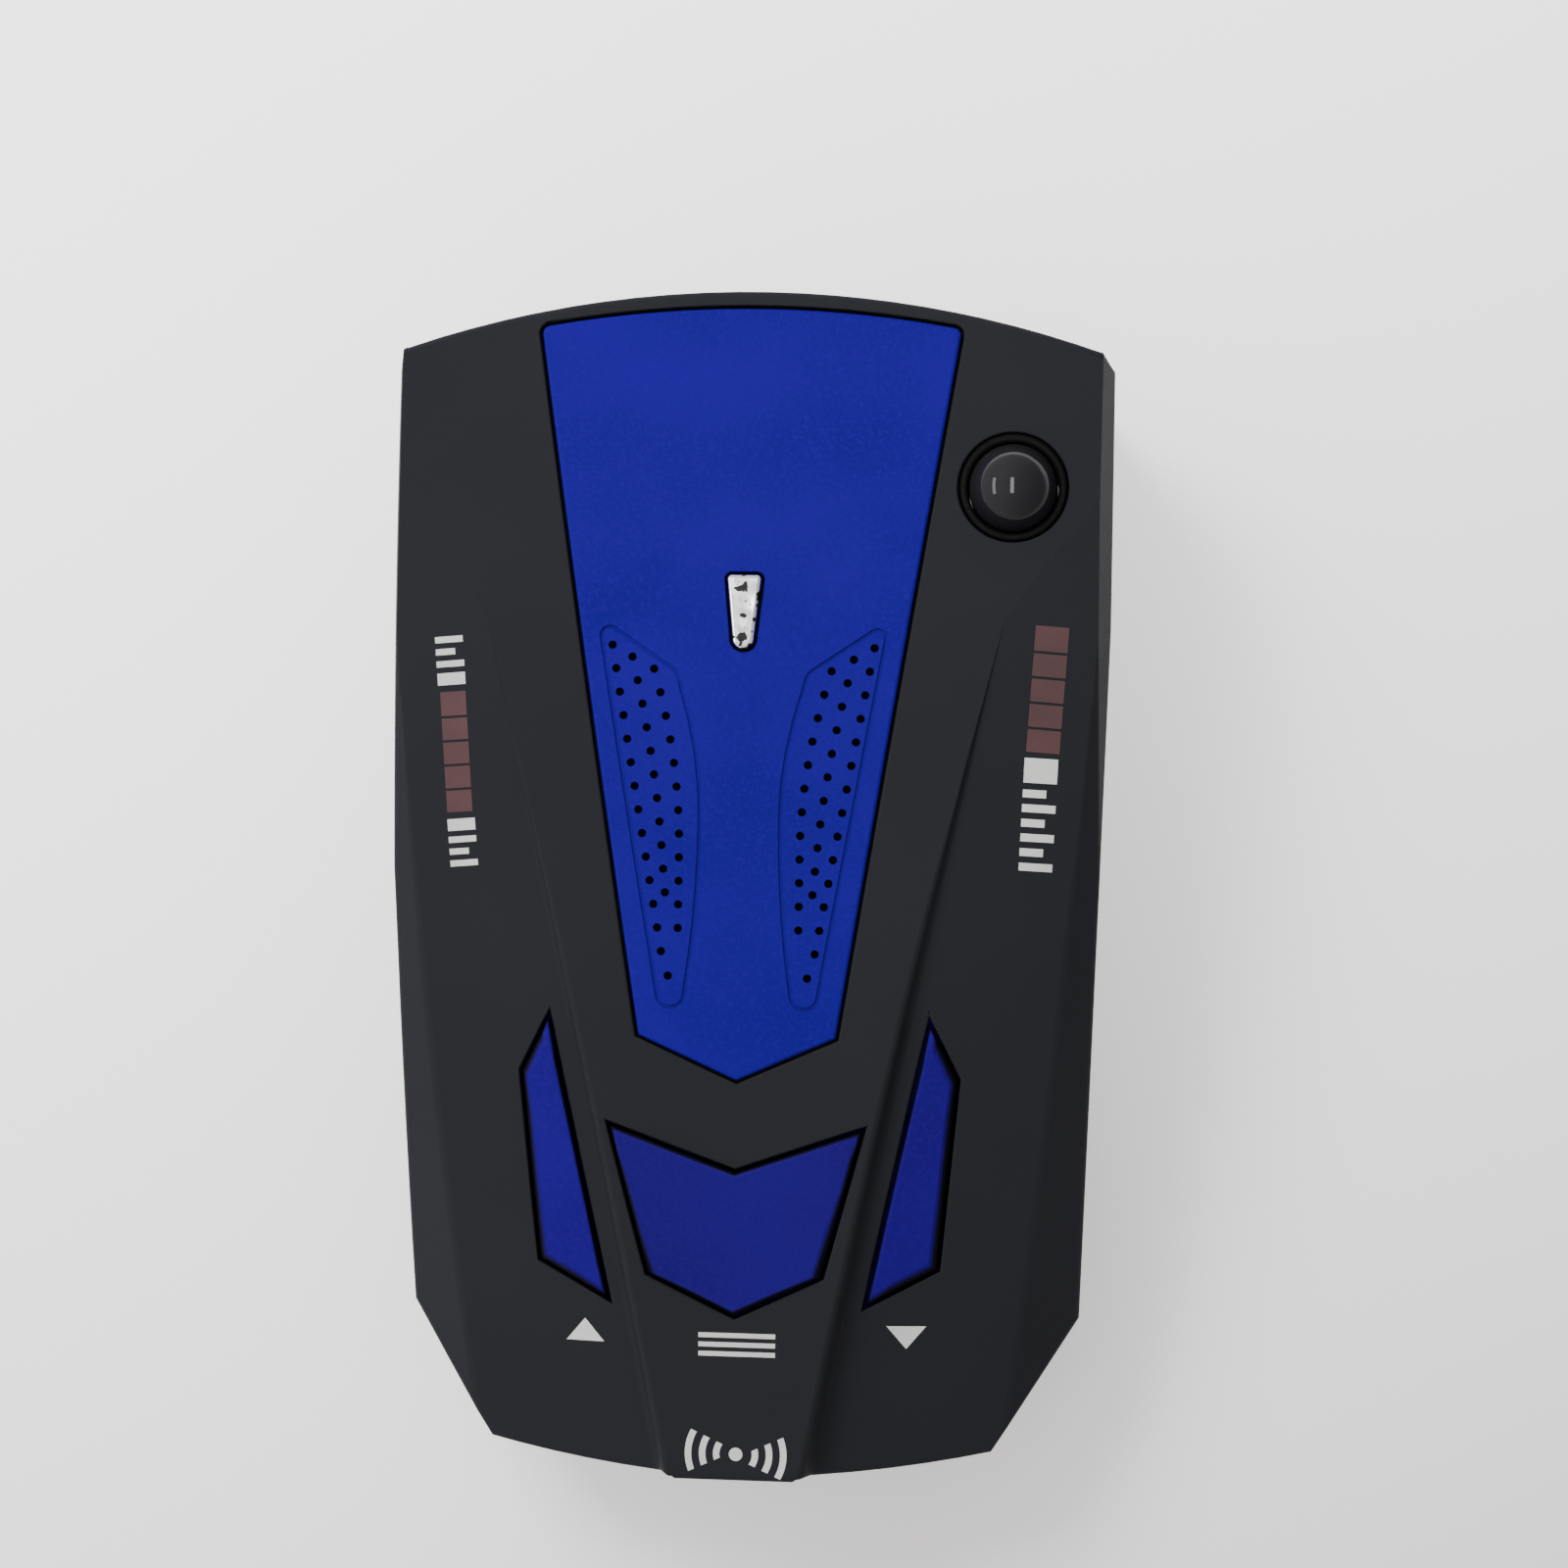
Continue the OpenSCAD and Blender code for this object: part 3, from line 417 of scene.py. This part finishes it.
def pickTopEdge(edge, middle, over):
    if not openAbove(middle, over):
        return 0.0
    normals = [face.normal for face in edge.link_faces]
    flats = [normal for normal in normals if normal.z > 0.2]
    if len(flats) == 2:    # foot or top of a flank, which fades out towards the road end
        fade = min(1.0, max(0.0, (topEdges["fadeEnd"] - middle.y) / topEdges["fadeLength"]))
        return fade * topEdges["crease"] / topEdges["outer"]
    if not flats:
        return 0.0
    wall = min(normals, key=lambda normal: normal.z)
    outward = Vector((wall.x, wall.y, 0.0)).dot(Vector((middle.x, middle.y, 0.0))) > 0
    atSide = abs(middle.x) > topEdges["sideFrom"]
    nearOutline = atSide or middle.y > topEdges["frontFrom"] or middle.y < topEdges["rearFrom"]
    if outward and nearOutline:
        return 1.0
    return topEdges["opening"] / topEdges["outer"]


topPiece = roundedCopy("top_cover", "upper_cover", topEdges["outer"], pickTopEdge, 4)
finishCopy(topPiece, "top_cover", "case")

panelEdges = {"outline": 0.30, "insertShare": 0.35, "insertReach": (2.4, 20.0, 29.5),
              "crownTop": 27.5, "crownY": 22.0, "crownRadius": 420.0,
              "rearHalfWidth": 9.2, "rearY": -13.7, "flare": 10.0 / 64.3}


def pickPanelEdge(edge, middle, over):
    crown = panelEdges["crownTop"] - (middle.y - panelEdges["crownY"]) ** 2 / (2 * panelEdges["crownRadius"])
    if middle.z < crown - 0.05:
        return 0.0
    sideX = panelEdges["rearHalfWidth"] + (middle.y - panelEdges["rearY"]) * panelEdges["flare"]
    if abs(middle.x) > sideX - 0.6 or middle.y < -13.5 or middle.y > 50.0:
        return 1.0
    reachX, rearY, frontY = panelEdges["insertReach"]
    atInsert = abs(middle.x) < reachX and rearY < middle.y < frontY
    return panelEdges["insertShare"] if atInsert else 0.0


panelPiece = roundedCopy("centre_panel", "blue_panel", panelEdges["outline"], pickPanelEdge)
finishCopy(panelPiece, "centre_panel", "case")

# The lower and outer edges of a button are rounded much more than the others
buttonEdges = {"round": 0.80, "small": 0.40, "sideSoft": [(0.42, -0.91), (1.0, -0.1)],
               "menuSoft": [(0.4, -0.9), (-0.4, -0.9)]}


def buttonPicker(softDirections):
    def pick(edge, middle, over):
        if not openAbove(middle, over):
            return 0.0
        flats = [face.normal for face in edge.link_faces if face.normal.z > 0.8]
        walls = [face.normal for face in edge.link_faces if abs(face.normal.z) < 0.3]
        if not flats or not walls:
            return 0.0
        out = walls[0]
        soft = any(out.x * x + out.y * y > 0.75 for x, y in softDirections)
        return 1.0 if soft else buttonEdges["small"] / buttonEdges["round"]
    return pick


for side, body in ((-1, "up_button"), (1, "down_button")):
    softSides = [(side * x, y) for x, y in buttonEdges["sideSoft"]]
    piece = roundedCopy(body, body.replace("button", "key"), buttonEdges["round"], buttonPicker(softSides), 5)
    finishCopy(piece, body, body)
menuPiece = roundedCopy("menu_button", "menu_key", buttonEdges["round"],
                        buttonPicker(buttonEdges["menuSoft"]), 5)
finishCopy(menuPiece, "menu_button", "menu_button")

insertEdges = {"width": 0.35, "above": 27.6}
insertPiece = roundedCopy("chrome_insert", "bright_insert", insertEdges["width"],
                          lambda edge, middle, over: 1.0 if middle.z > insertEdges["above"] else 0.0, 4)
finishCopy(insertPiece, "chrome_insert", "case")

baseEdges = {"width": 0.25, "shortest": 4.0, "level": 0.5, "below": 3.0, "cornerX": 26.0, "cornerY": 40.0}


def pickBaseEdge(edge, middle, over):    # the long edges of the base and its chamfer
    rise = abs(edge.verts[0].co.z - edge.verts[1].co.z)
    longAndLevel = edge.calc_length() > baseEdges["shortest"] * mm and rise < baseEdges["level"] * mm
    atCorner = abs(middle.x) > baseEdges["cornerX"] and middle.y > baseEdges["cornerY"]
    if not longAndLevel or atCorner or middle.z > baseEdges["below"]:
        return 0.0
    return 1.0 if openAbove(middle, over, Vector((0, 0, -1))) else 0.0


basePiece = roundedCopy("bottom_cover", "lower_cover", baseEdges["width"], pickBaseEdge, 3)
finishCopy(basePiece, "bottom_cover", "case")

wheelEdges = {"width": 0.12, "centre": (-24.75, -5.0), "rimFrom": 6.0}


def pickWheelEdge(edge, middle, over):    # the teeth and the rim
    away = math.dist((middle.x, middle.y), wheelEdges["centre"])
    return 1.0 if away > wheelEdges["rimFrom"] else 0.0


wheelPiece = roundedCopy("volume_wheel", "thumb_wheel", wheelEdges["width"], pickWheelEdge, 2)
finishCopy(wheelPiece, "volume_wheel", "volume_wheel")

# Each print is a flat shape, laid on the cover from above and thickened.

printLook = {"lift": 0.006, "thickness": 0.025, "from": 40.0}


def layPrint(piece, finishName):
    settle(piece)
    wrap = piece.modifiers.new("lay", "SHRINKWRAP")
    wrap.target = nodes["top_cover"]
    wrap.wrap_method = "PROJECT"
    wrap.use_project_z = True
    wrap.use_negative_direction = True
    wrap.use_positive_direction = False
    thick = piece.modifiers.new("film", "SOLIDIFY")
    thick.thickness = printLook["thickness"] * mm
    thick.offset = 1.0
    applyModifiers(piece)
    makeActive(piece)
    bpy.ops.transform.translate(value=(0, 0, printLook["lift"] * mm))
    settle(piece)
    piece.data.materials.append(looks[finishName])
    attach(piece, "case")
    return piece


def bar(name, corners, finishName, steps):    # four corners, counter-clockwise, in millimetres
    deselectAll()
    bpy.ops.mesh.primitive_plane_add(size=2 * mm, location=(0, 0, printLook["from"] * mm))
    piece = bpy.context.active_object
    piece.name = name
    for vertex, corner in zip(piece.data.vertices, (corners[0], corners[1], corners[3], corners[2])):
        vertex.co.x, vertex.co.y = corner[0] * mm, corner[1] * mm
    bpy.ops.object.mode_set(mode="EDIT")
    bpy.ops.mesh.select_all(action="SELECT")
    bpy.ops.mesh.subdivide(number_cuts=steps)
    bpy.ops.object.mode_set(mode="OBJECT")
    return layPrint(piece, finishName)


# A strip runs from its low end to its high end. A bar's from, to and width are shares of the strip's.
evenBars = [(0.2 * i, 0.2 * i + 0.18, 1.0) for i in range(4)] + [(0.8, 1.0, 1.0)]
longTail = [(0.13 * i, 0.13 * i + 0.07, 0.7 if i % 2 else 1.0) for i in range(6)] + [(0.78, 1.0, 1.0)]
stripLooks = {
    "left_low": {"finish": "printWhite", "ends": ((-25.3, 1.4), (-25.65, 5.7)), "width": 2.6,
                 "bars": [(0.0, 0.13, 1.0), (0.25, 0.38, 0.7), (0.5, 0.63, 1.0), (0.75, 1.0, 1.0)]},
    "left_red": {"finish": "printRed", "ends": ((-25.75, 6.3), (-26.5, 17.2)), "width": 2.4,
                 "bars": evenBars},
    "left_high": {"finish": "printWhite", "ends": ((-26.6, 17.8), (-26.95, 22.2)), "width": 2.6,
                  "bars": [(0.0, 0.25, 1.0), (0.37, 0.5, 1.0), (0.62, 0.75, 0.7), (0.87, 1.0, 1.0)]},
    "right_low": {"finish": "printWhite", "ends": ((26.55, 1.9), (26.95, 12.0)), "width": 3.0,
                  "bars": longTail},
    "right_red": {"finish": "printRed", "ends": ((27.05, 12.5), (27.75, 23.8)), "width": 3.0,
                  "bars": evenBars},
}
for name, look in stripLooks.items():
    low, high = (Vector(end) for end in look["ends"])
    along = (high - low).normalized()
    aside = Vector((along.y, -along.x)) * look["width"] / 2
    for i, (start, end, share) in enumerate(look["bars"]):
        a, b = low.lerp(high, start), low.lerp(high, end)
        inner = aside * (2 * share - 1)
        bar("%s_bar_%d" % (name, i), [a - aside, a + inner, b + inner, b - aside], look["finish"], 4)

menuLook = {"left": -3.2, "right": 3.8, "y": -41.5, "pitch": 0.85, "half": 0.22}
for i in range(3):
    y = menuLook["y"] + (i - 1) * menuLook["pitch"]
    low, high = y - menuLook["half"], y + menuLook["half"]
    left, right = menuLook["left"], menuLook["right"]
    bar("menu_sign_%d" % i, [(left, low), (right, low), (right, high), (left, high)], "printWhite", 6)

arrowLook = {"half": 1.8, "foot": 1.0, "tip": 1.1, "tipHalf": 0.02}
for name, x, y, up in (("up_sign", -14.0, -40.9, 1), ("down_sign", 15.5, -40.7, -1)):
    half, tipHalf = arrowLook["half"] * up, arrowLook["tipHalf"] * up
    foot, tip = y - arrowLook["foot"] * up, y + arrowLook["tip"] * up
    bar(name, [(x - half, foot), (x + half, foot), (x + tipHalf, tip), (x - tipHalf, tip)], "printWhite", 4)

# Signal sign: a dot, and three waves on each side of it
signLook = {"centre": (0.25, -51.6), "sweep": 50.0, "radii": (1.75, 3.05, 4.35), "line": 0.60, "dot": 0.62}
signCentre = Vector((*signLook["centre"], printLook["from"])) * mm
deselectAll()
bpy.ops.mesh.primitive_circle_add(vertices=24, radius=signLook["dot"] * mm, fill_type="NGON",
                                  location=signCentre)
bpy.context.active_object.name = "signal_dot"
layPrint(bpy.context.active_object, "printWhite")


def signalArc(name, radius, side):    # an edge above the centre is turned to one side and spun
    deselectAll()
    bpy.ops.mesh.primitive_plane_add(size=signLook["line"] * mm, location=signCentre + Vector((0, radius * mm, 0)))
    piece = bpy.context.active_object
    piece.name = name
    settle(piece)
    bpy.ops.object.mode_set(mode="EDIT")
    bpy.ops.mesh.select_all(action="SELECT")
    bpy.ops.mesh.delete(type="ONLY_FACE")
    form = bmesh.from_edit_mesh(piece.data)
    for edge in form.edges:    # all but the left upright edge are deleted
        first, last = (vertex.co for vertex in edge.verts)
        edge.select_set(not (abs(first.x - last.x) < 1e-6 and first.x > signCentre.x))
    bmesh.update_edit_mesh(piece.data)
    bpy.ops.mesh.delete(type="EDGE")
    bpy.ops.mesh.select_all(action="SELECT")
    bpy.ops.transform.rotate(value=math.radians(90.0 * side - signLook["sweep"] / 2), orient_axis="Z",
                             center_override=signCentre)
    bpy.ops.mesh.spin(steps=16, angle=math.radians(signLook["sweep"]), center=signCentre, axis=(0, 0, 1))
    bpy.ops.mesh.normals_make_consistent(inside=False)
    bpy.ops.object.mode_set(mode="OBJECT")
    if piece.data.polygons[0].normal.z < 0:
        piece.data.flip_normals()
    return layPrint(piece, "printWhite")


for k, side in enumerate((-1, 1)):
    for i, radius in enumerate(signLook["radii"]):
        signalArc("signal_arc_%d" % (3 * k + i), radius, side)
print("prints laid")

# Pale paper floor. Its glow is painted light, strongest to the left and far side and weakest towards the driver
floorLook = {"size": 6.0, "drop": 0.00002, "colour": (0.90, 0.872, 0.872), "patches": 0.985,
             "glowColour": (1.0, 0.965, 0.965, 1.0), "glow": (0.02, 1.7), "glowSlope": (-0.45, 0.89, 0.0),
             "glowReach": 0.10}
deselectAll()
bpy.ops.mesh.primitive_plane_add(size=floorLook["size"], location=(0, 0, -floorLook["drop"]))
floorPiece = bpy.context.active_object
floorPiece.name = "floor"
paper = surface("floorPaper", {
    "dark": tuple(c * floorLook["patches"] for c in floorLook["colour"]), "light": floorLook["colour"],
    "rough": (0.85, 0.95), "patchScale": 6.0, "grainScale": 900.0, "bump": 0.02, "depth": 0.00002,
    "specular": 0.1})
floorPiece.data.materials.append(paper)
paperTree = paper.node_tree
slope = addNode(paperTree, "ShaderNodeVectorMath", operation="DOT_PRODUCT")
slope.inputs[1].default_value = floorLook["glowSlope"]
paperTree.links.new(addNode(paperTree, "ShaderNodeTexCoord").outputs["Object"], slope.inputs[0])
reach = floorLook["glowReach"]
# painted light: the floor glows more to the left and away from the driver
glow = addRange(paperTree, slope.outputs["Value"], -reach, reach, *floorLook["glow"])
paperShader = paperTree.nodes["Principled BSDF"]
paperTree.links.new(glow, paperShader.inputs["Emission Strength"])
paperShader.inputs["Emission Color"].default_value = floorLook["glowColour"]

# A white room, darker to the right
roomLook = {"colour": (1.0, 0.99, 0.985, 1.0), "strength": (1.30, 0.50), "from": -0.5, "to": 0.9}
world = bpy.context.scene.world or bpy.data.worlds.new("studio")
bpy.context.scene.world = world
world.use_nodes = True
roomTree = world.node_tree
background = roomTree.nodes["Background"]
background.inputs["Color"].default_value = roomLook["colour"]
direction = addNode(roomTree, "ShaderNodeSeparateXYZ")
roomTree.links.new(addNode(roomTree, "ShaderNodeTexCoord").outputs["Generated"], direction.inputs["Vector"])
strength = addRange(roomTree, direction.outputs["X"], roomLook["from"], roomLook["to"], *roomLook["strength"])
roomTree.links.new(strength, background.inputs["Strength"])

# The key light isn't mirrored. The other two are only there to be mirrored in gloss.
lampLooks = {
    "keyLight": {"place": (-0.26, 0.34, 0.44), "target": (-0.03, 0.03, 0.0), "size": (0.26, 0.26), "power": 4.0},
    "stripLight": {"place": (0.0, 0.05, 0.60), "target": (0.02, 0.05, 0.02), "size": (0.42, 0.09), "power": 1.6},
    "sideLight": {"place": (-0.46, 0.05, 0.42), "target": (0.02, 0.05, 0.02), "size": (0.42, 0.09), "power": 1.2},
}
for name, look in lampLooks.items():
    deselectAll()
    bpy.ops.object.light_add(type="AREA", location=look["place"])
    lamp = bpy.context.active_object
    lamp.name = name
    lamp.data.shape = "RECTANGLE"
    lamp.data.size, lamp.data.size_y = look["size"]
    lamp.data.energy = look["power"]
    aim = Vector(look["target"]) - Vector(look["place"])
    lamp.rotation_euler = aim.to_track_quat("-Z", "Y").to_euler()
    lamp.visible_glossy = name != "keyLight"
    lamp.visible_diffuse = name == "keyLight"
print("lights set")

cameraLook = {"place": (30.0, -3.6, 330.0), "turn": (2.53, 4.87, 1.206), "focal": 77.7, "sensor": 36.0}
deselectAll()
bpy.ops.object.camera_add(location=[c * mm for c in cameraLook["place"]],
                          rotation=[math.radians(angle) for angle in cameraLook["turn"]])
camera = bpy.context.active_object
camera.data.lens = cameraLook["focal"]
camera.data.sensor_width = cameraLook["sensor"]
camera.data.clip_start = 0.01
bpy.context.scene.camera = camera
print("camera set")
